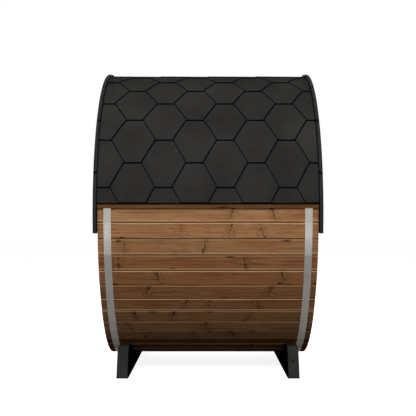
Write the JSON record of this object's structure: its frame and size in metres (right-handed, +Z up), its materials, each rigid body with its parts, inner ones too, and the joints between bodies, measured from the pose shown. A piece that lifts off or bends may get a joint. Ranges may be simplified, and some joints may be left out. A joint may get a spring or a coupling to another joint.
{
  "type": "barrel sauna",
  "caption": "Round barrel sauna of wooden staves with steel hoops, a black shingled roof with curved verge boards, and two low cradles.",
  "frame": {"origin": "on the ground, under the middle of the barrel", "axes": "+X along the barrel's axis to the end with the door, +Z up, the long side seen in the picture faces -Y"},
  "size_m": [1.2446, 1.7972, 1.8381],
  "materials": {
    "stave_wood": "heat-treated pine, planed",
    "wall_wood": "heat-treated pine, planed",
    "deck_wood": "heat-treated pine, planed",
    "door_wood": "heat-treated pine, sanded",
    "handle_wood": "heat-treated pine, rounded",
    "sole_wood": "stained black",
    "cradle_paint": "stained black, matt",
    "verge_paint": "painted black, satin",
    "bitumen_shingle": "bitumen felt with fine black mineral",
    "hoop_steel": "stainless, satin",
    "hinge_steel": "stainless, satin",
    "door_glass": "bronze toughened"
  },
  "bodies": {
    "root": {"cradle_left": "cradle_paint", "cradle_right": "cradle_paint", "cradle_sole_left": "sole_wood", "cradle_sole_right": "sole_wood", "door_glass": "door_glass", "door_handles": "handle_wood", "door_head": "door_wood", "door_hinges": "hinge_steel", "door_jambs": "door_wood", "door_leaf": "door_wood", "door_sill": "door_wood", "door_wall_back": "wall_wood", "door_wall_front": "wall_wood", "door_wall_over": "wall_wood", "door_wall_under": "wall_wood", "end_wall_left": "wall_wood", "hoop_bolt_left": "hoop_steel", "hoop_bolt_right": "hoop_steel", "hoop_left": "hoop_steel", "hoop_right": "hoop_steel", "roof_covering_back": "bitumen_shingle", "roof_covering_front": "bitumen_shingle", "roof_deck_back": "deck_wood", "roof_deck_front": "deck_wood", "roof_deck_top": "deck_wood", "roof_ridge": "bitumen_shingle", "staves_01": "stave_wood", "staves_02": "stave_wood", "staves_03": "stave_wood", "staves_04": "stave_wood", "staves_05": "stave_wood", "staves_06": "stave_wood", "staves_07": "stave_wood", "staves_08": "stave_wood", "staves_09": "stave_wood", "staves_10": "stave_wood", "staves_11": "stave_wood", "staves_12": "stave_wood", "verge_left_back": "verge_paint", "verge_left_crown": "verge_paint", "verge_left_front": "verge_paint", "verge_right_back": "verge_paint", "verge_right_crown": "verge_paint", "verge_right_front": "verge_paint"}
  },
  "joints": []
}
